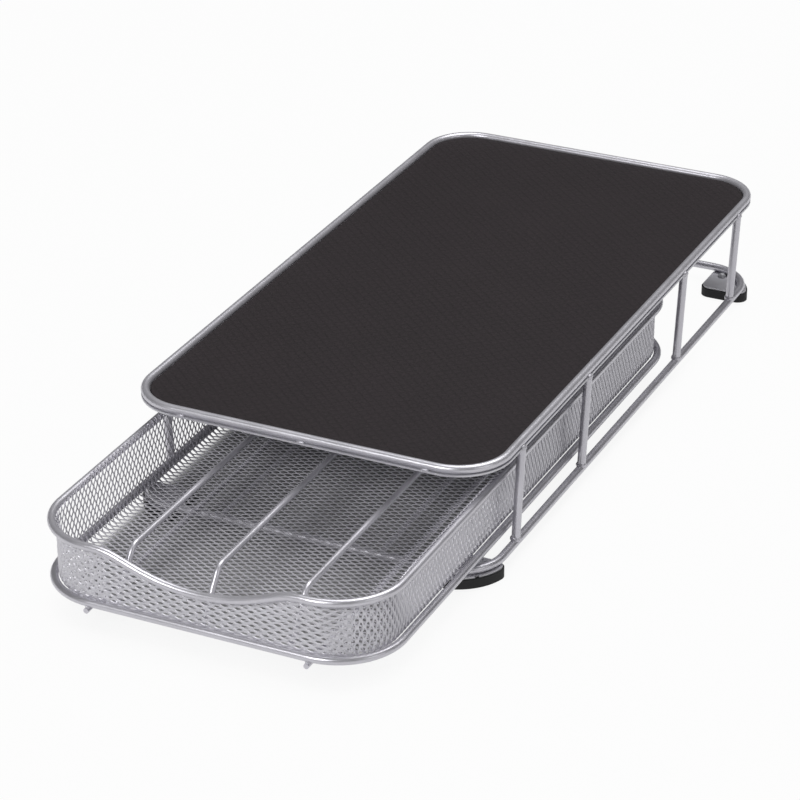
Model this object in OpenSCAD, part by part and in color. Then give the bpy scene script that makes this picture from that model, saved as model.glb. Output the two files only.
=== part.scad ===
// Drawer for coffee capsules, with a platform on top for the machine. Millimetres, +Z up, +Y to the back.
// The origin is on the worktop, under the middle of the whole object with its drawer pulled out.

/* [Platform] */
// Width over the rim wire
platform_w = 205; // [170:0.5:320]
// Length over the rim wire
platform_l = 401.5; // [300:0.5:520]
// Height of the rim's top above the worktop
platform_h = 68; // [63:0.1:90]
// Bend radius of the rim's corners, at the middle of the wire
rim_bend_r = 27; // [18:0.5:40]
// Diameter of the wire of the rim, the base ring and the posts
frame_wire_d = 4.5; // [3.5:0.1:5.5]
// Thickness of the steel plate under the rim
plate_t = 1; // [0.6:0.1:2]
// How far the plate's edge lies outside the middle of the rim wire
plate_reach = 2.1; // [0.5:0.1:2.5]
// Thickness of the anti-slip pad
pad_t = 2.2; // [1:0.1:3]
// Gap between the pad and the rim wire
pad_gap = 0.35; // [0.1:0.05:1]

/* [Base and posts] */
// How far the base ring lies inside the rim on each long side, between wire middles
base_inset_side = 1.35; // [0:0.05:4]
// How far the base ring lies inside the rim at each end, between wire middles
base_inset_end = 0.4; // [0:0.05:4]
// Bend radius of the base ring's corners, at the middle of the wire
base_bend_r = 25; // [18:0.5:40]
// Distance from each end of the rim to the post nearest to it
post_end_dist = 41.5; // [35:0.5:60]
// Distance from each end of the rim to the next post
post_mid_dist = 128.5; // [90:0.5:140]
// How far the posts' tops lie outside the middle of the rim wire
post_top_out = 1.05; // [0:0.05:2]
// How deep the rim wire is set into the rounded tops of the posts
post_bite = 0.3; // [0:0.05:1]
// Diameter of the wires under the plate
cross_bar_d = 4; // [3:0.1:5]
// Distance of each back post from the middle
back_post_x = 40; // [20:0.5:60]

/* [Feet] */
// Width of each corner plate, along both of its straight edges
foot_size = 27; // [22:0.5:34]
// Radius of the round corners of the corner plates, other than the one on the base ring's bend
foot_corner_r = 5; // [1:0.5:6]
// Thickness of the corner plates
foot_plate_t = 1; // [0.6:0.1:2]
// Thickness of the rubber feet
foot_pad_t = 5.2; // [3.5:0.1:8]
// How far the corner plates stand out past the base ring
foot_reach = 0.9; // [0:0.1:2]
// How far the rubber stands out past the corner plates
foot_pad_reach = 0.8; // [0:0.1:1.5]
// Width of the notch in the curved edge of each corner plate
foot_notch_w = 3; // [1:0.1:5]
// Diameter of the rivets' domed heads
rivet_head_d = 5; // [4:0.1:7]
// Height of the rivets' domed heads
rivet_head_h = 2.4; // [1:0.1:2.5]
// Diameter of the rivets' shanks
rivet_shank_d = 3; // [2:0.1:3.5]
// Length of the rivets' shanks in the rubber
rivet_grip = 2.5; // [1:0.1:3]
// Gap between the rivets' heads and the base ring
rivet_gap = 0.2; // [0.1:0.05:1]
// Direction from each corner's bend centre to its rivet, from the line across the object
rivet_angle = 66; // [30:1:70]

/* [Drawer] */
// How far the drawer is pulled out
drawer_open = 110; // [0:1:300]
// How far the drawer moves from closed to its stop
drawer_travel = 300; // [250:1:300]
// Diameter of the wire of the drawer's two rings
drawer_wire_d = 4.2; // [3.5:0.1:5]
// Gap between the drawer and the posts on each side
drawer_side_gap = 1.55; // [0.5:0.05:4]
// How far the closed drawer's front stands out past the rim's front, between wire middles
drawer_proud = 2.7; // [0:0.1:10]
// Distance between the middles of the drawer's two rings
drawer_wall_h = 31.2; // [26:0.1:34]
// Bend radius of the drawer's corners, at the middle of the wire
drawer_bend_r = 34; // [20:0.5:36]
// Width of the finger dip in the front of the top ring
dip_w = 112; // [60:1:114]
// Depth of the finger dip
dip_depth = 12; // [4:0.5:16]
// Bend radius at each end of the finger dip, at the middle of the wire
dip_end_r = 36; // [15:1:40]
// Length of the straight slopes between the dip's bends
dip_slope = 10; // [2:0.5:20]

/* [Mesh] */
// Thickness of the expanded mesh
mesh_t = 0.8; // [0.6:0.1:1.2]
// Width of the mesh's strands
mesh_strand = 2.4; // [1.5:0.1:4]
// Width of the solid border of the mesh
mesh_border = 2.6; // [1.5:0.1:4]
// Rows of openings along the floor
floor_rows = 14; // [6:1:16]
// Columns of openings across the floor
floor_columns = 9; // [4:1:10]
// Rows of openings up the walls
wall_rows = 2; // [1:1:3]
// Length of one opening of the walls with its strand
wall_cell = 21; // [19:0.5:40]

/* [Dividers] */
// Distance between the middles of neighbouring dividers
lane_pitch = 47; // [40:0.5:50]
// Diameter of the divider wires
divider_d = 3.2; // [2:0.1:4]
// Height of the dividers' middles above the floor
divider_h = 24; // [15:0.5:30]
// Length that the sloping end of a divider takes up along the drawer
divider_slope = 18; // [10:0.5:40]
// Gap between the foot of a divider and the drawer's end wall
divider_foot_gap = 1.2; // [0.3:0.1:5]
// Bend radius of the dividers, at the middle of the wire
divider_bend_r = 7; // [4:0.5:12]

/* [Runners and rails] */
// Diameter of the runners and of the guide rails
slide_d = 2.8; // [2.2:0.1:4]
// Distance of each runner from the middle
runner_x = 59.5; // [52:0.5:65]
// How far the runners' front ends stand out past the middle of the front wire
runner_stub = 2.5; // [0:0.1:6]
// Distance of each guide rail from the middle
rail_x = 45; // [25:0.5:47]
// Bend radius of the runners' hooks, at the middle of the wire
hook_bend_r = 4; // [3:0.5:5]
// Height of the hooks' lower ends above the worktop
hook_clear = 5.8; // [1:0.1:6]

/* [Fits] */
// Running gap under the drawer
slide_gap = 0.3; // [0.2:0.05:1]
// Gap between the drawer and each of its stops at the ends of its travel
stop_gap = 0.4; // [0.3:0.05:2]
// Gap left between pieces that are welded, glued or riveted together
joint_gap = 0.05; // [0.02:0.01:0.1]

/* [Hidden] */
$fn = 48;

steel = [0.66, 0.67, 0.70];
mesh_steel = [0.58, 0.59, 0.61];
pad_colour = [0.24, 0.22, 0.23];
rubber = [0.07, 0.07, 0.08];

// Wire radii
frame_r = frame_wire_d / 2;
drawer_r = drawer_wire_d / 2;
slide_r = slide_d / 2;
divider_r = divider_d / 2;
cross_bar_r = cross_bar_d / 2;

// Heights, from the worktop up
foot_plate_z = foot_pad_t;
base_z = foot_plate_z + foot_plate_t + joint_gap + frame_r;
base_top_z = base_z + frame_r;
rail_z = base_top_z + joint_gap + slide_r;
runner_z = base_top_z + slide_gap + slide_r;
drawer_base_z = runner_z + slide_r + joint_gap + drawer_r;
floor_z = runner_z + slide_r + joint_gap;
floor_top_z = floor_z + mesh_t;
wall_z = floor_top_z + joint_gap;
drawer_top_z = drawer_base_z + drawer_wall_h;
divider_z = floor_top_z + divider_h;
rim_z = platform_h - frame_r;
plate_z = rim_z - frame_r - joint_gap - plate_t;
pad_z = plate_z + plate_t + joint_gap;
cross_bar_z = plate_z - joint_gap - cross_bar_r;
post_top_z = rim_z - sqrt(pow(frame_wire_d - post_bite, 2) - pow(post_top_out, 2));

// Half widths, to the middles of the wires
rim_x = platform_w / 2 - frame_r;
base_x = rim_x - base_inset_side;
post_top_x = rim_x + post_top_out;
drawer_x = base_x - frame_r - drawer_side_gap - drawer_r;

// The object's ends, measured from the middle of the rim's front wire
rim_l = platform_l - frame_wire_d;
foot_out = frame_r + foot_reach + foot_pad_reach - base_inset_end;
end_out = max(frame_r, foot_out);
front_out = max(drawer_open + drawer_proud + max(runner_stub, drawer_r), end_out);

// Places along the object, to the middles of the wires
rim_front_y = (front_out - rim_l - end_out) / 2;
rim_back_y = rim_front_y + rim_l;
base_front_y = rim_front_y + base_inset_end;
base_back_y = rim_back_y - base_inset_end;
post_ys = [
    rim_front_y + post_end_dist,
    rim_front_y + post_mid_dist,
    rim_back_y - post_mid_dist,
    rim_back_y - post_end_dist
];
closed_front_y = rim_front_y - drawer_proud;
closed_back_y = base_back_y - frame_r - stop_gap - drawer_r;
drawer_front_y = closed_front_y - drawer_open;
drawer_back_y = closed_back_y - drawer_open;
drawer_mid_y = (drawer_front_y + drawer_back_y) / 2;
drawer_l = drawer_back_y - drawer_front_y;
hook_y = base_front_y + frame_r + stop_gap + slide_r + drawer_travel - drawer_open;

// The floor's edge just meets the round of the bottom ring
floor_inset = sqrt(pow(drawer_r + joint_gap, 2) - pow(drawer_base_z - floor_top_z, 2));
// The walls stand against the insides of both rings
wall_inset = drawer_r + joint_gap;
wall_h = drawer_top_z - wall_z;
wall_front_l = 2 * (drawer_x - drawer_bend_r);
wall_side_l = drawer_l - 2 * drawer_bend_r;
wall_bend_r = drawer_bend_r - wall_inset - mesh_t;
wall_cell_h = wall_h / wall_rows;

// The finger dip bends down, slopes, bends round its middle, slopes and bends back
dip_x = dip_w / 2;
dip_angle = 2 * atan(dip_depth / (dip_x + dip_slope));
dip_mid_r = ((pow(dip_x, 2) - pow(dip_slope, 2)) / dip_depth + dip_depth) / 2 - dip_end_r;

rivet_from_bend = base_bend_r - frame_r - rivet_head_d / 2 - rivet_gap;

wire_ends = ["left", "right"];
corners = ["front_left", "front_right", "back_left", "back_right"];
posts_each_side = len(post_ys);

// -1 for a left piece, 1 for a right one
function side_of(name) = name == "left" || name == "front_left" || name == "back_left" ? -1 : 1;
// -1 for a front piece, 1 for a back one
function end_of(name) = name == "front_left" || name == "front_right" ? -1 : 1;

function unit(v) = v / norm(v);
// The direction in which a path leaves its point i
function heading(path, i) = unit(path[(i + 1) % len(path)] - path[i]);
// The angle that a path turns at its point i, positive to the left
function turn(path, i) =
    let (before = heading(path, (i - 1 + len(path)) % len(path)), after = heading(path, i))
    atan2(cross(before, after), before * after);
// The length that the bend at point i takes from each of its two runs
function bend_cut(path, radii, i, closed) =
    closed || (i > 0 && i < len(path) - 1) ? radii[i] * tan(abs(turn(path, i)) / 2) : 0;

// A round wire along a flat path in the XY plane, bent to a radius at each point
module bent_wire(path, radii, d, closed = false) {
    n = len(path);
    for (i = [0 : closed ? n - 1 : n - 2]) {
        along = heading(path, i);
        next = (i + 1) % n;
        start = bend_cut(path, radii, i, closed);
        run = norm(path[next] - path[i]) - start - bend_cut(path, radii, next, closed);
        if (run > joint_gap)
            translate(path[i] + along * start)
                rotate([0, 90, atan2(along.y, along.x)])
                    cylinder(d = d, h = run);
    }
    for (i = [closed ? 0 : 1 : closed ? n - 1 : n - 2]) {
        before = heading(path, (i - 1 + n) % n);
        angle = turn(path, i);
        to_centre = sign(angle) * radii[i] * [-before.y, before.x];
        start = path[i] - before * bend_cut(path, radii, i, closed);
        from = atan2(-to_centre.y, -to_centre.x);
        translate(start + to_centre)
            rotate(min(from, from + angle))
                rotate_extrude(angle = abs(angle))
                    translate([radii[i], 0])
                        circle(d = d);
    }
}

// A closed wire ring with four round corners, lying flat
module wire_ring(half_w, front_y, back_y, bend_r, d) {
    outline = [[-half_w, front_y], [half_w, front_y], [half_w, back_y], [-half_w, back_y]];
    bent_wire(outline, [bend_r, bend_r, bend_r, bend_r], d, closed = true);
}

// A straight wire from one point to another
module rod(from, to, d) {
    along = to - from;
    translate(from)
        rotate([0, acos(along.z / norm(along)), atan2(along.y, along.x)])
            cylinder(d = d, h = norm(along));
}

// A path in Y and Z, stood up at a place across the object
module upright(x) {
    translate([x, 0, 0])
        rotate([90, 0, 90])
            children();
}

// A rectangle with four round corners
module rounded_outline(half_w, front_y, back_y, r) {
    translate([-half_w, front_y + r])
        square([2 * half_w, back_y - front_y - 2 * r]);
    translate([-half_w + r, front_y])
        square([2 * (half_w - r), back_y - front_y]);
    for (x = [-half_w + r, half_w - r], y = [front_y + r, back_y - r])
        translate([x, y])
            circle(r = r);
}

// Mirrors a piece of the right-hand side to the side that is asked for
module on_side(side) {
    mirror([side < 0 ? 1 : 0, 0, 0])
        children();
}

// The space that one leaning post of the right-hand side takes up, with a gap all round
module post_shaft(y, gap) {
    rod([base_x, y, base_z], [post_top_x, y, post_top_z], frame_wire_d + 2 * gap);
    translate([post_top_x, y, post_top_z])
        sphere(d = frame_wire_d + 2 * gap);
}

module rim_ring() {
    color(steel)
        translate([0, 0, rim_z])
            wire_ring(rim_x, rim_front_y, rim_back_y, rim_bend_r, frame_wire_d);
}

// The plate is notched where the posts come up past its edge
module top_plate() {
    color(steel)
        difference() {
            translate([0, 0, plate_z])
                linear_extrude(plate_t)
                    rounded_outline(
                        rim_x + plate_reach,
                        rim_front_y - plate_reach,
                        rim_back_y + plate_reach,
                        rim_bend_r + plate_reach
                    );
            for (side = [-1, 1], y = post_ys)
                on_side(side)
                    post_shaft(y, joint_gap);
        }
}

module anti_slip_pad() {
    inset = frame_r + pad_gap;
    color(pad_colour)
        translate([0, 0, pad_z])
            linear_extrude(pad_t)
                rounded_outline(rim_x - inset, rim_front_y + inset, rim_back_y - inset, rim_bend_r - inset);
}

module base_ring() {
    color(steel)
        translate([0, 0, base_z])
            wire_ring(base_x, base_front_y, base_back_y, base_bend_r, frame_wire_d);
}

// Each post is coped to the two wires that it is welded to
module post(side, i) {
    y = post_ys[i - 1];
    color(steel)
        on_side(side)
            difference() {
                post_shaft(y, 0);
                for (place = [[base_x, base_z], [rim_x, rim_z]])
                    translate([place[0], y + frame_wire_d, place[1]])
                        rotate([90, 0, 0])
                            cylinder(r = frame_r + joint_gap, h = 2 * frame_wire_d);
            }
}

// Each cross bar lies against the plate and is coped to a pair of posts
module cross_bar(i) {
    y = post_ys[i - 1];
    color(steel)
        difference() {
            rod([-post_top_x, y, cross_bar_z], [post_top_x, y, cross_bar_z], cross_bar_d);
            for (side = [-1, 1])
                on_side(side)
                    post_shaft(y, joint_gap);
        }
}

module back_post(side) {
    foot = [side * back_post_x, base_back_y, base_z];
    color(steel)
        difference() {
            rod(foot, [foot.x, foot.y, plate_z - joint_gap], frame_wire_d);
            translate([foot.x - frame_wire_d, foot.y, foot.z])
                rotate([0, 90, 0])
                    cylinder(r = frame_r + joint_gap, h = 2 * frame_wire_d);
        }
}

// The rails lie on the front and back of the base ring
module guide_rail(side) {
    x = side * rail_x;
    color(steel)
        rod([x, base_front_y - frame_r, rail_z], [x, base_back_y + frame_r, rail_z], slide_d);
}

// One corner of the base's outline, grown by some distance and drawn from its bend centre
module foot_outline(grow) {
    out_r = base_bend_r + frame_r + foot_reach + grow;
    corner_r = foot_corner_r + grow;
    near = out_r - foot_size - 2 * grow;
    // The round of the two end corners just meets the round of the bend
    far = corner_r + sqrt(pow(out_r - corner_r, 2) - pow(max(0, near + corner_r), 2));
    base_side = 2 * out_r + foot_size;
    intersection() {
        translate([(near + far) / 2, 0])
            rounded_outline((far - near) / 2, near, far, corner_r);
        translate([out_r - base_side / 2, 0])
            rounded_outline(base_side / 2, out_r - base_side, out_r, out_r);
    }
}

// Moves a piece to a corner's bend centre and mirrors it, so that the corner lies towards +X and +Y
module at_corner(side, end) {
    bend_y = end < 0 ? base_front_y + base_bend_r : base_back_y - base_bend_r;
    translate([side * (base_x - base_bend_r), bend_y, 0])
        mirror([side < 0 ? 1 : 0, 0, 0])
            mirror([0, end < 0 ? 1 : 0, 0])
                children();
}

// The place of a rivet, from its corner's bend centre
module at_rivet() {
    rotate(rivet_angle)
        translate([rivet_from_bend, 0, 0])
            children();
}

// The plate has a hole for its rivet and a notch in the middle of its curved edge
module foot_plate(side, end) {
    plate_r = base_bend_r + frame_r + foot_reach;
    color(steel)
        at_corner(side, end)
            translate([0, 0, foot_plate_z])
                difference() {
                    linear_extrude(foot_plate_t)
                        foot_outline(0);
                    translate([0, 0, -foot_plate_t])
                        at_rivet()
                            cylinder(d = rivet_shank_d + 2 * joint_gap, h = 3 * foot_plate_t);
                    translate([plate_r * cos(45), plate_r * sin(45), -foot_plate_t])
                        cylinder(d = foot_notch_w, h = 3 * foot_plate_t, $fn = 4);
                }
}

module foot_pad(side, end) {
    pocket = rivet_grip + joint_gap;
    color(rubber)
        at_corner(side, end)
            difference() {
                linear_extrude(foot_pad_t - joint_gap)
                    foot_outline(foot_pad_reach);
                translate([0, 0, foot_pad_t - pocket])
                    at_rivet()
                        cylinder(d = rivet_shank_d + 2 * joint_gap, h = 2 * pocket);
            }
}

module foot_rivet(side, end) {
    // The radius of the ball that the domed head is cut from
    ball_r = (pow(rivet_head_d / 2, 2) + pow(rivet_head_h, 2)) / (2 * rivet_head_h);
    head_z = foot_plate_z + foot_plate_t + joint_gap;
    color(steel)
        at_corner(side, end)
            at_rivet() {
                translate([0, 0, head_z])
                    intersection() {
                        translate([0, 0, rivet_head_h - ball_r])
                            sphere(r = ball_r);
                        cylinder(d = rivet_head_d + ball_r, h = rivet_head_h + ball_r);
                    }
                translate([0, 0, foot_pad_t - rivet_grip])
                    cylinder(d = rivet_shank_d, h = head_z - foot_pad_t + rivet_grip);
            }
}

module drawer_top_ring() {
    // Where the straight lines along the dip cross
    end_x = dip_x - dip_end_r * tan(dip_angle / 2);
    mid_z = -end_x * tan(dip_angle);
    around = [
        [dip_x, drawer_front_y],
        [drawer_x, drawer_front_y],
        [drawer_x, drawer_back_y],
        [-drawer_x, drawer_back_y],
        [-drawer_x, drawer_front_y],
        [-dip_x, drawer_front_y]
    ];
    dip = [[-dip_x, 0], [-end_x, 0], [0, mid_z], [end_x, 0], [dip_x, 0]];
    color(steel)
        translate([0, 0, drawer_top_z]) {
            bent_wire(around, [for (point = around) drawer_bend_r], drawer_wire_d);
            translate([0, drawer_front_y, 0])
                rotate([90, 0, 0])
                    bent_wire(dip, [0, dip_end_r, dip_mid_r, dip_end_r, 0], drawer_wire_d);
        }
}

module drawer_bottom_ring() {
    color(steel)
        translate([0, 0, drawer_base_z])
            wire_ring(drawer_x, drawer_front_y, drawer_back_y, drawer_bend_r, drawer_wire_d);
}

// How much a diamond shrinks so that strands of the right width are left between its neighbours
function shrink(w, h) = 1 - mesh_strand / 2 / (w * h / 2 / norm([w, h]));

// One opening of the mesh, in a cell of a width and height
module diamond(w, h) {
    scale_down = shrink(w, h);
    half_w = w / 2 * scale_down;
    half_h = h / 2 * scale_down;
    polygon([[half_w, 0], [0, half_h], [-half_w, 0], [0, -half_h]]);
}

// Every second column of openings is moved up by half a cell
module diamond_column(k, rows, w, h) {
    odd = k % 2;
    for (j = [0 : rows - odd])
        translate([0, (j + odd / 2) * h])
            diamond(w, h);
}

module floor_mesh() {
    half_w = drawer_x - floor_inset;
    front_y = drawer_front_y + floor_inset;
    back_y = drawer_back_y - floor_inset;
    corner_r = drawer_bend_r - floor_inset;
    cell_w = 2 * half_w / floor_columns;
    cell_h = (back_y - front_y) / floor_rows;
    color(mesh_steel)
        translate([0, 0, floor_z])
            linear_extrude(mesh_t)
                difference() {
                    rounded_outline(half_w, front_y, back_y, corner_r);
                    intersection() {
                        rounded_outline(
                            half_w - mesh_border,
                            front_y + mesh_border,
                            back_y - mesh_border,
                            corner_r - mesh_border
                        );
                        for (k = [0 : 2 * floor_columns])
                            translate([k * cell_w / 2 - half_w, front_y])
                                diamond_column(k, floor_rows, cell_w, cell_h);
                    }
                }
}

// The part of a wall that the finger dip takes away, grown by a margin
module dip_cut(margin) {
    end_r = dip_end_r - margin;
    mid_r = dip_mid_r + margin;
    slope = [sin(dip_angle), cos(dip_angle)];
    // The ends of the straight slope, where the bends run into it
    upper = [dip_x - end_r * slope.x, end_r * slope.y - dip_end_r];
    lower = [mid_r * slope.x, dip_mid_r - dip_depth - mid_r * slope.y];
    right_side = [[dip_x, drawer_r], [dip_x, -margin], upper, lower];
    translate([0, wall_h]) {
        difference() {
            polygon([
                for (point = right_side) point,
                for (i = [len(right_side) - 1 : -1 : 0]) [-right_side[i].x, right_side[i].y]
            ]);
            for (side = [-1, 1])
                translate([side * dip_x, -dip_end_r])
                    circle(r = end_r);
        }
        intersection() {
            translate([0, dip_mid_r - dip_depth])
                circle(r = mid_r);
            translate([-lower.x, lower.y - dip_depth])
                square([2 * lower.x, dip_depth]);
        }
    }
}

// A flat wall of the mesh, drawn from the middle of its lower edge
module wall_panel(length, dipped) {
    columns = round(length / wall_cell);
    cell_w = length / columns;
    linear_extrude(mesh_t)
        difference() {
            translate([-length / 2, 0])
                square([length, wall_h]);
            if (dipped)
                dip_cut(0);
            difference() {
                intersection() {
                    translate([(mesh_strand - length) / 2, mesh_border])
                        square([length - mesh_strand, wall_h - 2 * mesh_border]);
                    for (k = [0 : 2 * columns])
                        translate([k * cell_w / 2 - length / 2, 0])
                            diamond_column(k, wall_rows, cell_w, wall_cell_h);
                }
                if (dipped)
                    dip_cut(mesh_border);
            }
        }
}

// A quarter round of the mesh between two walls, drawn from its bend centre
module wall_corner() {
    columns = max(1, round(wall_bend_r * PI / 2 / wall_cell));
    cell_w = wall_bend_r * PI / 2 / columns;
    difference() {
        rotate_extrude(angle = 90)
            translate([wall_bend_r, 0])
                square([mesh_t, wall_h]);
        for (k = [0 : 2 * columns]) {
            from = k == 0 ? mesh_strand / 2 : -cell_w;
            to = k == 2 * columns ? -mesh_strand / 2 : cell_w;
            rotate(k * 45 / columns)
                translate([wall_bend_r - mesh_t, 0, 0])
                    rotate([90, 0, 90])
                        linear_extrude(3 * mesh_t)
                            intersection() {
                                translate([from, mesh_border])
                                    square([to - from, wall_h - 2 * mesh_border]);
                                diamond_column(k, wall_rows, cell_w, wall_cell_h);
                            }
        }
    }
}

module wall_mesh() {
    face_x = drawer_x - wall_inset;
    front_y = drawer_front_y + wall_inset;
    back_y = drawer_back_y - wall_inset;
    bend_x = drawer_x - drawer_bend_r;
    color(mesh_steel)
        translate([0, 0, wall_z]) {
            translate([0, front_y + mesh_t, 0])
                rotate([90, 0, 0])
                    wall_panel(wall_front_l, true);
            translate([0, back_y, 0])
                rotate([90, 0, 0])
                    wall_panel(wall_front_l, false);
            for (x = [-face_x, face_x - mesh_t])
                translate([x, drawer_mid_y, 0])
                    rotate([90, 0, 90])
                        wall_panel(wall_side_l, false);
            for (corner = [[1, 1, 0], [-1, 1, 90], [-1, -1, 180], [1, -1, 270]])
                translate([
                    corner[0] * bend_x,
                    corner[1] > 0 ? drawer_back_y - drawer_bend_r : drawer_front_y + drawer_bend_r,
                    0
                ])
                    rotate(corner[2])
                        wall_corner();
        }
}

// A divider runs along the drawer and slopes down to the floor at both ends
module divider(x) {
    end_gap = wall_inset + mesh_t + divider_foot_gap + divider_r;
    foot_front_y = drawer_front_y + end_gap;
    foot_back_y = drawer_back_y - end_gap;
    // The ends run on below the floor's top and are cut level with it
    run_on = [divider_slope, divider_h] / divider_h * divider_d;
    path = [
        [foot_front_y - run_on.x, floor_top_z - run_on.y],
        [foot_front_y + divider_slope, divider_z],
        [foot_back_y - divider_slope, divider_z],
        [foot_back_y + run_on.x, floor_top_z - run_on.y]
    ];
    color(steel)
        difference() {
            upright(x)
                bent_wire(path, [0, divider_bend_r, divider_bend_r, 0], divider_d);
            translate([x - divider_d, drawer_front_y, floor_top_z + joint_gap - 3 * divider_d])
                cube([2 * divider_d, drawer_l, 3 * divider_d]);
        }
}

// A runner lies under the floor, and its hook catches behind the front of the base ring
module runner(side) {
    path = [
        [drawer_front_y - runner_stub, runner_z],
        [hook_y, runner_z],
        [hook_y, hook_clear]
    ];
    color(steel)
        upright(side * runner_x)
            bent_wire(path, [0, min(hook_bend_r, runner_z - hook_clear), 0], slide_d);
}

rim_ring();
top_plate();
anti_slip_pad();
base_ring();
for (name = wire_ends, i = [1 : posts_each_side])
    post(side_of(name), i);
for (i = [1 : posts_each_side])
    cross_bar(i);
for (name = wire_ends)
    back_post(side_of(name));
for (name = wire_ends)
    guide_rail(side_of(name));
for (name = corners)
    foot_plate(side_of(name), end_of(name));
for (name = corners)
    foot_pad(side_of(name), end_of(name));
for (name = corners)
    foot_rivet(side_of(name), end_of(name));
drawer_top_ring();
drawer_bottom_ring();
wall_mesh();
floor_mesh();
divider(-lane_pitch);  // divider_left
divider(0);  // divider_centre
divider(lane_pitch);  // divider_right
for (name = wire_ends)
    runner(side_of(name));
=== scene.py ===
import math

import bpy
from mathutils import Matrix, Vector, noise


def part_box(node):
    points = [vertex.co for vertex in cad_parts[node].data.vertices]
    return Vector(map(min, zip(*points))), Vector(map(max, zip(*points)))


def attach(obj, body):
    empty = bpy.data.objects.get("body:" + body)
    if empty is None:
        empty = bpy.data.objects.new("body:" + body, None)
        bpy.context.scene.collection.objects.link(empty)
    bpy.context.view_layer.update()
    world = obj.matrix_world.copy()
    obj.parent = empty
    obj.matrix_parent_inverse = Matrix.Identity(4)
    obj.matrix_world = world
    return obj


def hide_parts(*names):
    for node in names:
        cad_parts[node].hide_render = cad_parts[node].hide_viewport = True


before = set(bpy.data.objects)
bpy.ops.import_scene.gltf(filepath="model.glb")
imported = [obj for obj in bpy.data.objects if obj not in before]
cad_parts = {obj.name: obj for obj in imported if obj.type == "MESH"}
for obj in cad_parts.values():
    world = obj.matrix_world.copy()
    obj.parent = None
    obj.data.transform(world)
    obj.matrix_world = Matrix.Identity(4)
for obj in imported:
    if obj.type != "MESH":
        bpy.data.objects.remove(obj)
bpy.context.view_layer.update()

# ---- Camera ----
# It stands where the photographer stood: in front of the drawer, to its right and well above it,
# far off with a long lens, so that the sides hardly run together.
azimuth, elevation, distance = math.radians(25.19), math.radians(27.10), 1.627
aim = Vector((0.0269, -0.084975, 0.06575))
towards_camera = Vector((
    math.sin(azimuth) * math.cos(elevation),
    -math.cos(azimuth) * math.cos(elevation),
    math.sin(elevation),
))
camera = bpy.data.objects.new("camera", bpy.data.cameras.new("camera"))
camera.data.lens = 143.9
camera.data.sensor_width = 36
camera.location = aim + towards_camera * distance
camera.rotation_euler = towards_camera.to_track_quat("Z", "Y").to_euler()
bpy.context.scene.collection.objects.link(camera)
bpy.context.scene.camera = camera
bpy.context.scene.view_settings.view_transform = "Standard"

# ---- Studio floor and daylight ----
# A pale grey table in a dim room, under one large soft box a little behind, with two smaller ones in front
# and far to the right that draw the bright lines on the wires. The table glows burnt out to white,
# straight and in reflections, where it lies open, and the glow fades where things stand over it or close
# beside it: a painted shade. On a round-cornered patch under the drawer's place at rest, which lies a
# little to the left to suit the camera's slant, the glow goes out under the drawer, so the table's real
# grey and the object's real shadow show there along with the painted shade. Elsewhere the painted shade is
# faint and lies only close beside the object.


class Value:
    """A socket that can be written in a formula: each operator makes its Math node."""

    def __init__(self, net, node, output):
        self.net, self.node = net, node
        self.socket = node.outputs[output] if node.outputs else None

    def other(self, output):
        return Value(self.net, self.node, output)

    def math(self, operation, *values):
        return self.net.node("ShaderNodeMath", {"operation": operation}, self, *values)

    def __add__(self, other):
        return self.math("ADD", other)

    def __sub__(self, other):
        return self.math("SUBTRACT", other)

    def __mul__(self, other):
        return self.math("MULTIPLY", other)

    def __truediv__(self, other):
        return self.math("DIVIDE", other)

    def __rsub__(self, other):
        return self.net.node("ShaderNodeMath", {"operation": "SUBTRACT"}, other, self)

    def __abs__(self):
        return self.math("ABSOLUTE")

    __radd__, __rmul__ = __add__, __mul__


class Net:
    """A node tree that is written as formulas."""

    def __init__(self, owner):
        owner.use_nodes = True
        self.tree = owner.node_tree
        self.tree.nodes.clear()

    def node(self, kind, settings, *values, output=0, **named):
        made = self.tree.nodes.new(kind)
        for key, value in settings.items():
            setattr(made, key, value)
        for key, value in [*enumerate(values), *named.items()]:
            socket = made.inputs[key.replace("_", " ") if isinstance(key, str) else key]
            if isinstance(value, Value):
                self.tree.links.new(value.socket, socket)
            elif value is not None:
                socket.default_value = value
        return Value(self, made, output)


def seen(net):
    """1 for what the camera sees, straight or in a reflection, and 0 for light on its way to a surface."""
    rays = net.node("ShaderNodeLightPath", {}, output="Is Camera Ray")
    straight_or_mirrored = rays + rays.other("Is Glossy Ray") + rays.other("Is Transmission Ray")
    return straight_or_mirrored.math("MINIMUM", 1.0)


world = bpy.data.worlds.new("grey_room")
bpy.context.scene.world = world
net = Net(world)
net.node("ShaderNodeOutputWorld", {}, net.node("ShaderNodeBackground", {}, (1, 1, 1, 1), 0.04))

table_half = 60.0
table_mesh = bpy.data.meshes.new("table")
table_mesh.from_pydata(
    [(x * table_half, y * table_half, 0) for x, y in ((-1, -1), (1, -1), (1, 1), (-1, 1))],
    [],
    [(0, 1, 2, 3)],
)
table_paint = bpy.data.materials.new("white_table")
net = Net(table_paint)
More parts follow.
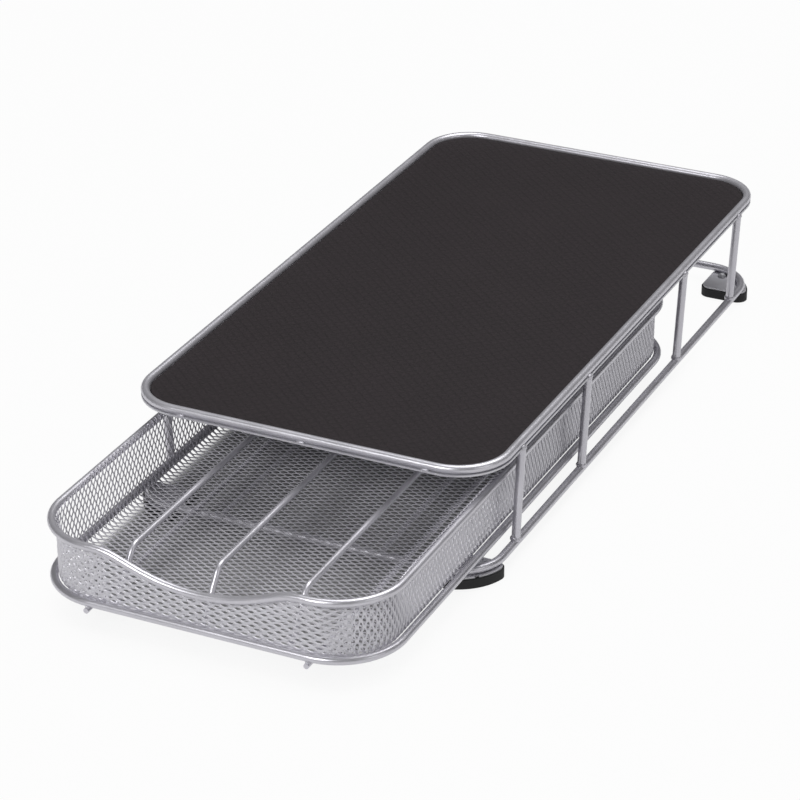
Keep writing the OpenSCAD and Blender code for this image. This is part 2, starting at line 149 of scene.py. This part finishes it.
# Ambient occlusion dims the white glow under and beside the object, a painted shade; the patch below lets
# the glow go out under the drawer.
openness = net.node("ShaderNodeAmbientOcclusion", {"samples": 8}, Distance=0.045, output="AO")
open_table, near_table = [
    net.node(
        "ShaderNodeMapRange",
        {"interpolation_type": "SMOOTHSTEP"},
        openness,
        From_Min=dark,
        From_Max=light,
        To_Min=least,
    )
    for dark, light, least in ((0.84, 0.98, 0.0), (0.25, 0.75, 0.90))
]
spot = net.node("ShaderNodeSeparateXYZ", {}, net.node("ShaderNodeTexCoord", {}, output="Object"))
shade_x, shade_y, shade_half_w, shade_half_l = -0.010, -0.038, 0.057, 0.160
shade_round, shade_blur = 0.034, 0.008
across = (abs(spot - shade_x) - shade_half_w).math("MAXIMUM", 0.0)
along = (abs(spot.other("Y") - shade_y) - shade_half_l).math("MAXIMUM", 0.0)
past_shade = net.node(
    "ShaderNodeMapRange",
    {"interpolation_type": "SMOOTHSTEP"},
    (across * across + along * along).math("SQRT") - shade_round,
    From_Min=-shade_blur,
    From_Max=0.0,
)
most_white = 0.97
burnt_out = open_table.math("MAXIMUM", past_shade * near_table) * most_white
table_grey = 0.34
matt = net.node("ShaderNodeBsdfDiffuse", {}, (table_grey, table_grey, table_grey, 1))
glow = net.node("ShaderNodeEmission", {}, (1, 1, 1, 1), 1.0)
table_top = net.node("ShaderNodeMixShader", {}, seen(net) * burnt_out, matt, glow)
net.node("ShaderNodeOutputMaterial", {}, table_top)
table_mesh.materials.append(table_paint)
table = bpy.data.objects.new("table", table_mesh)
bpy.context.scene.collection.objects.link(table)

lamps_aim = Vector((0, 0, 0.03))
for lamp_name, place, size, watts in (
    ("softbox_above", (0.15, 0.40, 1.40), 1.20, 17.5),
    ("softbox_front", (-0.15, -1.35, 0.88), 0.45, 11.0),
    ("softbox_right", (1.35, -0.45, 0.60), 0.60, 2.2),
):
    lamp = bpy.data.lights.new(lamp_name, "AREA")
    lamp.shape, lamp.size, lamp.energy = "SQUARE", size, watts
    lamp_object = bpy.data.objects.new(lamp_name, lamp)
    lamp_object.location = place
    lamp_object.rotation_euler = (Vector(place) - lamps_aim).to_track_quat("Z", "Y").to_euler()
    bpy.context.scene.collection.objects.link(lamp_object)

# ---- Bent wire of the frame and the drawer ----
# Mild steel wire, drawn, bent and butt-welded to rings, then electrostatically powder coated in
# satin silver: fine metal flake, a slight orange peel, and gloss that varies a little from place to place.


def silver_paint(name, colour, metal, rough, peel):
    """Silver powder coat. The flake is finer than a grain of salt, the orange peel about a millimetre."""
    material = bpy.data.materials.new(name)
    net = Net(material)
    place = net.node("ShaderNodeTexCoord", {}, output="Object")
    flake = net.node("ShaderNodeTexVoronoi", {}, Vector=place, Scale=9000.0, output="Color")
    flake = net.node("ShaderNodeSeparateColor", {}, flake)
    cloud = net.node("ShaderNodeTexNoise", {}, Vector=place, Scale=60.0, Detail=3.0)
    skin = net.node("ShaderNodeTexNoise", {}, Vector=place, Scale=900.0, Detail=2.0, Roughness=0.45)
    tone = 0.86 + flake * 0.16 + cloud * 0.20
    paint = net.node("ShaderNodeVectorMath", {"operation": "SCALE"}, colour, Scale=tone)
    relief = net.node("ShaderNodeBump", {}, Strength=1.0, Distance=peel, Height=skin + flake * 0.10)
    surface = net.node(
        "ShaderNodeBsdfPrincipled",
        {},
        Base_Color=paint,
        Metallic=metal,
        Roughness=rough + (cloud - 0.5) * 0.16 + flake * 0.06,
        Normal=relief,
    )
    net.node("ShaderNodeOutputMaterial", {}, surface)
    return material


def coat(material, names):
    for name in names:
        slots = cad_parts[name].material_slots
        for slot in slots:
            slot.material = material
        if not slots:
            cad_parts[name].data.materials.append(material)


wire_paint = silver_paint("silver_wire_paint", (0.60, 0.59, 0.635), 0.58, 0.32, 0.00004)
sides = ("left", "right")
coat(
    wire_paint,
    ["rim_ring", "base_ring", "drawer_top_ring", "drawer_bottom_ring"]
    + [f"post_{side}_{i}" for side in sides for i in (1, 2, 3, 4)]
    + [f"cross_bar_{i}" for i in (1, 2, 3, 4)]
    + [f"{wire}_{side}" for wire in ("back_post", "guide_rail", "runner") for side in sides]
    + [f"divider_{place}" for place in ("left", "centre", "right")],
)

# ---- Sheet steel: the platform's plate and the four corner plates ----
# Blanked from 1 mm sheet and coated with the frame. Sheet takes the powder more evenly than wire.
plate_paint = silver_paint("silver_plate_paint", (0.60, 0.595, 0.63), 0.45, 0.34, 0.00002)
corners = [f"{end}_{side}" for end in ("front", "back") for side in sides]
coat(plate_paint, ["top_plate"] + [f"foot_plate_{corner}" for corner in corners])

# ---- Rivets ----
# Solid dome-headed steel rivets that hold the rubber to the corner plates. They are set before the
# frame is coated, so they carry the same powder, a little duller on the small domes.
rivet_paint = silver_paint("silver_rivet_paint", (0.42, 0.42, 0.44), 0.35, 0.44, 0.00005)
coat(rivet_paint, [f"foot_rivet_{corner}" for corner in corners])

# ---- Rubber feet ----
# Moulded black nitrile rubber, dull and slightly grey where the mould was spark-eroded.
foot_rubber = bpy.data.materials.new("black_rubber")
net = Net(foot_rubber)
place = net.node("ShaderNodeTexCoord", {}, output="Object")
pits = net.node("ShaderNodeTexNoise", {}, Vector=place, Scale=2600.0, Detail=4.0)
bloom = net.node("ShaderNodeTexNoise", {}, Vector=place, Scale=110.0, Detail=2.0)
rubber = net.node(
    "ShaderNodeBsdfPrincipled",
    {},
    Base_Color=net.node(
        "ShaderNodeVectorMath", {"operation": "SCALE"}, (0.0080, 0.0080, 0.0088), Scale=0.7 + bloom * 0.6
    ),
    Roughness=0.60 + pits * 0.2,
    Normal=net.node("ShaderNodeBump", {}, Strength=1.0, Distance=0.00006, Height=pits),
)
net.node("ShaderNodeOutputMaterial", {}, rubber)
coat(foot_rubber, [f"foot_pad_{corner}" for corner in corners])

# ---- Anti-slip pad ----
# A die-cut mat of dense foam rubber, dark brown-black, embossed all over with small diamonds in
# staggered rows. It is glued to the plate inside the rim, and its cut edge is slightly rounded.
low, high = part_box("anti_slip_pad")
pad_bend = 0.0244
pad_round = 0.0006
bend_steps, round_steps = 14, 4
loops = []
for inset, z in [(0, low.z), (0, high.z - pad_round)] + [
    (
        pad_round * (1 - math.cos(math.pi / 2 * i / round_steps)),
        high.z - pad_round * (1 - math.sin(math.pi / 2 * i / round_steps)),
    )
    for i in range(1, round_steps + 1)
]:
    loops.append([
        (
            sx * (high.x - pad_bend) + (pad_bend - inset) * math.cos(turn),
            (high.y - pad_bend if sy > 0 else low.y + pad_bend) + (pad_bend - inset) * math.sin(turn),
            z,
        )
        for sx, sy, start in ((1, 1, 0), (-1, 1, 90), (-1, -1, 180), (1, -1, 270))
        for turn in (math.radians(start + 90 * i / bend_steps) for i in range(bend_steps + 1))
    ])
count = len(loops[0])
pad_faces = [tuple(reversed(range(count)))]
for level in range(len(loops) - 1):
    for i in range(count):
        j = (i + 1) % count
        pad_faces.append((
            level * count + i, level * count + j, (level + 1) * count + j, (level + 1) * count + i
        ))
pad_faces.append(tuple(range((len(loops) - 1) * count, len(loops) * count)))
pad_mesh = bpy.data.meshes.new("embossed_mat")
pad_mesh.from_pydata([point for loop in loops for point in loop], [], pad_faces)
mat_rubber = bpy.data.materials.new("embossed_mat")
net = Net(mat_rubber)
place = net.node("ShaderNodeTexCoord", {}, output="Object")
spot = net.node("ShaderNodeSeparateXYZ", {}, place)
diamond_w, diamond_l = 0.0067, 0.00605
u, v = spot / diamond_w, spot.other("Y") / diamond_l
wobble = net.node("ShaderNodeTexNoise", {}, Vector=place, Scale=140.0, Detail=1.0) * 0.25
slants = [abs((line + wobble).math("FRACT") - 0.5) for line in (u + v, u - v)]
diamond = slants[0].math("MINIMUM", slants[1]).math("SMOOTH_MIN", 0.22, 0.08)
grain = net.node("ShaderNodeTexNoise", {}, Vector=place, Scale=850.0, Detail=5.0, Roughness=0.75)
cloud = net.node("ShaderNodeTexNoise", {}, Vector=place, Scale=22.0, Detail=3.0)
# The colour is lighter on the raised diamonds and darker along the grooves between them, as the relief is:
# a painted shade in the grooves, on top of the bump.
mat_surface = net.node(
    "ShaderNodeBsdfPrincipled",
    {},
    Base_Color=net.node(
        "ShaderNodeVectorMath",
        {"operation": "SCALE"},
        (0.0215, 0.0160, 0.0183),
        Scale=grain * 2.6 + cloud * 0.25 + diamond * 0.9 - 0.62,
    ),
    Roughness=0.70 + grain * 0.2,
    Specular_IOR_Level=0.35,
    Normal=net.node(
        "ShaderNodeBump", {}, Strength=1.0, Distance=0.0009, Height=diamond + grain * 0.25
    ),
)
net.node("ShaderNodeOutputMaterial", {}, mat_surface)
pad_mesh.materials.append(mat_rubber)
pad = bpy.data.objects.new("embossed_mat", pad_mesh)
bpy.context.scene.collection.objects.link(pad)
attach(pad, "frame")
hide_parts("anti_slip_pad")

# ---- Expanded mesh of the drawer ----
# One sheet of raised expanded steel. It is slit and stretched, so every strand leans the same way,
# and its long way lies across the drawer. Its four sides are folded up round a rod and welded to
# the insides of the two rings. The side flaps wrap round the corners and end on the front flap in
# slanting seams and on the back flap in straight ones. The cut edges along the sides and round the
# back corners are rolled over the top wire.
long_way, short_way = 0.00707, 0.0037
bond_l, strand_w = 0.0014, 0.00082
lean, steel_t = -0.30, 0.00052
fold_r = 0.0045

bottom_low, bottom_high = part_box("drawer_bottom_ring")
top_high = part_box("drawer_top_ring")[1]
wire_r = (bottom_high.z - bottom_low.z) / 2
mesh_low, mesh_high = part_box("wall_mesh")
floor_low, floor_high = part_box("floor_mesh")
half_sheet = (floor_high.z - floor_low.z) / 2
half_x = mesh_high.x - half_sheet
front_y, back_y = mesh_low.y + half_sheet, mesh_high.y - half_sheet
drawer_bend_r = 0.034
corner_r = drawer_bend_r - wire_r - half_sheet
floor_z = (floor_low.z + floor_high.z) / 2
wire_z = top_high.z - wire_r
wire_off = bottom_high.x - wire_r - half_x
flat_x = half_x - fold_r
flat_front, flat_back = front_y + fold_r, back_y - fold_r
fold_l = fold_r * math.pi / 2
wall_l = fold_l + wire_z - floor_z - fold_r
front_half = half_x - corner_r
corner_l = corner_r * math.pi / 2
side_start = front_half + corner_l
side_l = back_y - front_y - 2 * corner_r


def expanded(u_low, u_high, v_low, v_high):
    """The bonds and strands over a part of the flat sheet, each a list of corners (u, v, height).

    The long way is along u, and each bond rises by the lean towards +v.
    """
    faces = []
    half_b, w, rise = bond_l / 2, strand_w, strand_w * lean
    step_u, step_v = long_way / 2, short_way / 2
    for j in range(math.floor(v_low / step_v) - 1, math.ceil(v_high / step_v) + 2):
        v = j * step_v
        for i in range(math.floor(u_low / long_way) - 1, math.ceil(u_high / long_way) + 2):
            u = (i + j % 2 / 2) * long_way
            faces.append([
                (u - half_b, v - w, -rise),
                (u + half_b, v - w, -rise),
                (u + half_b, v, 0),
                (u - half_b, v, 0),
            ])
            faces.append([
                (u - half_b, v, 0),
                (u + half_b, v, 0),
                (u + half_b, v + w, rise),
                (u - half_b, v + w, rise),
            ])
            faces.append([
                (u + half_b, v, 0),
                (u + step_u - half_b, v + step_v - w, -rise),
                (u + step_u - half_b, v + step_v, 0),
                (u + half_b, v + w, rise),
            ])
            faces.append([
                (u - half_b, v, 0),
                (u - half_b, v + w, rise),
                (u - step_u + half_b, v + step_v, 0),
                (u - step_u + half_b, v + step_v - w, -rise),
            ])
    return faces


def cut(faces, inside):
    """Shears the sheet along the line where inside(u, v) is 0."""
    kept = []
    for face in faces:
        values = [inside(u, v) for u, v, _ in face]
        if min(values) >= 0:
            kept.append(face)
        elif max(values) > 0:
            part = []
            for i, here in enumerate(face):
                there, a, b = face[i - 1], values[i], values[i - 1]
                if (a < 0) != (b < 0):
                    t = a / (a - b)
                    part.append(tuple(p + (q - p) * t for p, q in zip(here, there)))
                if a >= 0:
                    part.append(here)
            if len(part) > 2:
                kept.append(part)
    return kept


def add_sheet(points, polygons, faces, form):
    """Gives the faces their thickness and puts them on the formed surface, form(u, v, height)."""
    index, edges = {}, {}

    def corner(point, side):
        key = (round(point[0], 7), round(point[1], 7), side)
        if key not in index:
            index[key] = len(points)
            points.append(form(point[0], point[1], point[2] + side * steel_t / 2))
        return index[key]

    for face in faces:
        upper = [corner(point, 1) for point in face]
        lower = [corner(point, -1) for point in face]
        polygons.append(upper)
        polygons.append(lower[::-1])
        for i in range(len(face)):
            edges[upper[i - 1], upper[i]] = (lower[i], lower[i - 1])
    for (a, b), (c, d) in edges.items():
        if (b, a) not in edges:
            polygons.append([b, a, d, c])


def rise_from_floor(q):
    """The section of a wall at the length q up the sheet from the flat floor.

    Gives the distance in from the wall, the height, and the inner side's direction.
    """
    if q < fold_l:
        sine, cosine = math.sin(q / fold_r), math.cos(q / fold_r)
        return fold_r * (1 - sine), floor_z + fold_r * (1 - cosine), sine, cosine
    if q < wall_l:
        return 0.0, floor_z + fold_r + q - fold_l, 1.0, 0.0
    sine, cosine = math.sin((q - wall_l) / wire_off), math.cos((q - wall_l) / wire_off)
    return wire_off * (cosine - 1), wire_z + wire_off * sine, cosine, sine


def round_the_drawer(s, inwards):
    """The place in plan at the length s along the wall from the middle of the front.

    It lies to the right where s is positive.
    """
    hand, along = (1, s) if s >= 0 else (-1, -s)
    if along <= front_half:
        return hand * along, front_y + inwards
    if along <= side_start:
        turn, r = (along - front_half) / corner_r, corner_r - inwards
        return hand * (front_half + r * math.sin(turn)), front_y + corner_r - r * math.cos(turn)
    if along <= side_start + side_l:
        return hand * (half_x - inwards), front_y + corner_r + along - side_start
    turn, r = (along - side_start - side_l) / corner_r, corner_r - inwards
    if turn <= math.pi / 2:
        return hand * (front_half + r * math.cos(turn)), back_y - corner_r + r * math.sin(turn)
    return hand * (front_half + corner_r * math.pi / 2 - turn * corner_r), back_y - inwards


def wall_place(s, q, height):
    inwards, z, level, upwards = rise_from_floor(q)
    x, y = round_the_drawer(s, inwards + height * level)
    return x, y, z + height * upwards


def finger_dip(x):
    """How far the top wire dips at x, along the same bends and slopes as the wire."""
    half_w, depth, end_r, mid_r = 0.056, 0.012, 0.036, 0.0965
    sine, cosine = 0.352, 0.936
    x = abs(x)
    if x >= half_w:
        return 0.0
    if x >= half_w - end_r * sine:
        return end_r - math.sqrt(end_r ** 2 - (half_w - x) ** 2)
    if x >= mid_r * sine:
        return end_r * (1 - cosine) + (half_w - end_r * sine - x) * sine / cosine
    return depth - mid_r + math.sqrt(mid_r ** 2 - x ** 2)


# The flat floor
flat_corner = corner_r - fold_r
mid_y, half_y = (flat_front + flat_back) / 2, (flat_back - flat_front) / 2


def on_floor(x, y):
    dx = max(abs(x) - flat_x + flat_corner, 0)
    dy = max(abs(y - mid_y) - half_y + flat_corner, 0)
    return min(flat_corner - math.hypot(dx, dy), flat_x - abs(x), half_y - abs(y - mid_y))


floor_points, floor_polygons = [], []
floor_faces = cut(expanded(-flat_x, flat_x, flat_front, flat_back), on_floor)
add_sheet(floor_points, floor_polygons, floor_faces, lambda u, v, h: (u, v, floor_z + h))

# The front and back flaps, whose ends lie behind the seams
wall_points, wall_polygons = [], []
flap_end, flap_behind = 0.080, half_sheet * 0.4
flap = expanded(-flap_end, flap_end, flat_front - wall_l, flat_front)
flap = cut(flap, lambda u, v: flat_front - v)
flap = cut(flap, lambda u, v: flap_end - abs(u))
flap = cut(flap, lambda u, v: v - flat_front + wall_l - finger_dip(u))
add_sheet(
    wall_points,
    wall_polygons,
    flap,
    lambda u, v, h: wall_place(u, flat_front - v, h - flap_behind),
)
half_round = side_start + side_l + corner_l + front_half
flap = expanded(-flap_end, flap_end, flat_back, flat_back + wall_l)
flap = cut(flap, lambda u, v: v - flat_back)
flap = cut(flap, lambda u, v: flap_end - abs(u))
flap = cut(flap, lambda u, v: flat_back + wall_l - v)
add_sheet(
    wall_points,
    wall_polygons,
    flap,
    lambda u, v, h: wall_place(
        half_round - u if u > 0 else -half_round - u, v - flat_back, h - flap_behind
    ),
)

# The side flaps: v is y along the side and runs on round both corners
v_start = front_y + corner_r - side_start
rolled_l, roll_run_in = wire_off * 1.25, 0.03
back_seam, spare = half_round - 0.070, 0.01
for hand, seam_top, seam_foot in ((1, 0.077, 0.064), (-1, 0.054, 0.047)):
    flap = expanded(
        flat_x, flat_x + wall_l + rolled_l, v_start + seam_foot - spare, v_start + back_seam + spare
    )

    def past_seam(u, v):
        share = (u - flat_x) / wall_l
        return v - v_start - seam_foot - (seam_top - seam_foot) * share

    def under_wire(u, v):
        clear = min(max((v - v_start - side_start) / roll_run_in, 0), 1)
        return flat_x + wall_l + rolled_l * clear - u

    flap = cut(flap, lambda u, v: u - flat_x)
    flap = cut(flap, past_seam)
    flap = cut(flap, lambda u, v: v_start + back_seam - v)
    flap = cut(flap, under_wire)
    add_sheet(
        wall_points,
        wall_polygons,
        flap if hand > 0 else [face[::-1] for face in flap],
        lambda u, v, h: wall_place(hand * (v - v_start), u - flat_x, h),
    )

mesh_paint = silver_paint("silver_mesh_paint", (0.68, 0.67, 0.715), 0.40, 0.40, 0.00002)
for piece_name, points, polygons, node in (
    ("expanded_floor", floor_points, floor_polygons, "floor_mesh"),
    ("expanded_walls", wall_points, wall_polygons, "wall_mesh"),
):
    data = bpy.data.meshes.new(piece_name)
    data.from_pydata(points, [], polygons)
    data.materials.append(mesh_paint)
    piece = bpy.data.objects.new(piece_name, data)
    bpy.context.scene.collection.objects.link(piece)
    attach(piece, "drawer")
    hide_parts(node)

# ---- Welds ----
# Resistance and spot welds, left as they come and coated over: a small uneven collar of squeezed-out
# steel round each wire's end and each crossing, and a few short beads between the rim and its plate.
weld_paint = silver_paint("silver_weld_paint", (0.60, 0.59, 0.635), 0.50, 0.36, 0.00008)
turns, rings = 18, 9
spread, collar_l, top_collar_l = 0.0006, 0.0022, 0.0018
rail_bead_l, runner_bead_l, divider_collar_l = 0.0021, 0.0020, 0.0012
coarse, coarse_swell, fine, fine_swell = 900, 0.07, 2200, 0.05


def lump(points, polygons, centre, along, radius, half_l):
    """An uneven bead about a wire that runs along the given direction."""
    centre, along = Vector(centre), Vector(along).normalized()
    side = along.orthogonal().normalized()
    up = along.cross(side)
    first = len(points)
    for ring in range(rings + 1):
        tilt = math.pi * (0.04 + 0.92 * ring / rings)
        for i in range(turns):
            turn = 2 * math.pi * i / turns
            out = side * math.cos(turn) + up * math.sin(turn)
            way = out * math.sin(tilt) * radius - along * math.cos(tilt) * half_l
            swell = 1 + coarse_swell * noise.noise((centre + way) * coarse)
            swell += fine_swell * noise.noise((centre + way) * fine)
            points.append(centre + way * swell)
    for ring in range(rings):
        for i in range(turns):
            a, b = first + ring * turns + i, first + ring * turns + (i + 1) % turns
            polygons.append((a, b, b + turns, a + turns))
    polygons.append(tuple(first + i for i in reversed(range(turns))))
    polygons.append(tuple(first + rings * turns + i for i in range(turns)))


base_low, base_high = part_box("base_ring")
rim_low, rim_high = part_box("rim_ring")
frame_r = (base_high.z - base_low.z) / 2
upright, sideways, lengthways = (0, 0, 1), (1, 0, 0), (0, 1, 0)
foot_weld_z, top_weld_drop, bar_weld_in = base_high.z - 0.0001, 0.0008, 0.0008
frame_lumps = []
for side, hand in (("left", -1), ("right", 1)):
    for i in (1, 2, 3, 4):
        low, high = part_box(f"post_{side}_{i}")
        y = (low.y + high.y) / 2
        foot = (hand * (base_high.x - frame_r), y, foot_weld_z)
        top = (hand * (rim_high.x - frame_r * 0.6), y, high.z - top_weld_drop)
        frame_lumps.append((foot, upright, frame_r + spread, collar_l))
        frame_lumps.append((top, upright, frame_r + spread * 0.8, top_collar_l))
    low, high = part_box(f"back_post_{side}")
    x, y, post_r = (low.x + high.x) / 2, (low.y + high.y) / 2, (high.x - low.x) / 2
    frame_lumps.append(((x, y, foot_weld_z), upright, post_r + spread, collar_l))
    frame_lumps.append(((x, y, high.z - top_weld_drop), upright, post_r + spread, top_collar_l))
    low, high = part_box(f"guide_rail_{side}")
    x, z, rail_r = (low.x + high.x) / 2, (low.z + high.z) / 2, (high.z - low.z) / 2
    for y in (base_low.y + frame_r, base_high.y - frame_r):
        frame_lumps.append(((x, y, z - rail_r * 0.9), lengthways, rail_r * 0.95, rail_bead_l))
for i in (1, 2, 3, 4):
    low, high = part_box(f"cross_bar_{i}")
    y, z, bar_r = (low.y + high.y) / 2, (low.z + high.z) / 2, (high.z - low.z) / 2
    for x in (low.x + bar_weld_in, high.x - bar_weld_in):
        frame_lumps.append(((x, y, z), sideways, bar_r + spread, top_collar_l))
spot_x, spot_r = 0.068, 0.0009
for x in (-spot_x, 0.0, spot_x):
    for y in (rim_low.y + frame_r * 0.35, rim_high.y - frame_r * 0.35):
        frame_lumps.append(((x, y, rim_low.z + 0.0002), sideways, spot_r, collar_l))

drawer_lumps = []
for place in ("left", "centre", "right"):
    low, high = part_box(f"divider_{place}")
    x, divider_r = (low.x + high.x) / 2, (high.x - low.x) / 2
    for y in (low.y + divider_r, high.y - divider_r):
        drawer_lumps.append(((x, y, low.z + 0.0004), upright, divider_r + spread, divider_collar_l))
for side in sides:
    low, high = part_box(f"runner_{side}")
    x, runner_r = (low.x + high.x) / 2, (high.x - low.x) / 2
    for y in (bottom_low.y + wire_r, bottom_high.y - wire_r):
        drawer_lumps.append(((x, y, bottom_low.z), lengthways, runner_r * 0.95, runner_bead_l))

for piece_name, body, lumps in (
    ("weld_beads_frame", "frame", frame_lumps),
    ("weld_beads_drawer", "drawer", drawer_lumps),
):
    points, polygons = [], []
    for bead in lumps:
        lump(points, polygons, *bead)
    data = bpy.data.meshes.new(piece_name)
    data.from_pydata(points, [], polygons)
    data.shade_smooth()
    data.materials.append(weld_paint)
    piece = bpy.data.objects.new(piece_name, data)
    bpy.context.scene.collection.objects.link(piece)
    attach(piece, body)
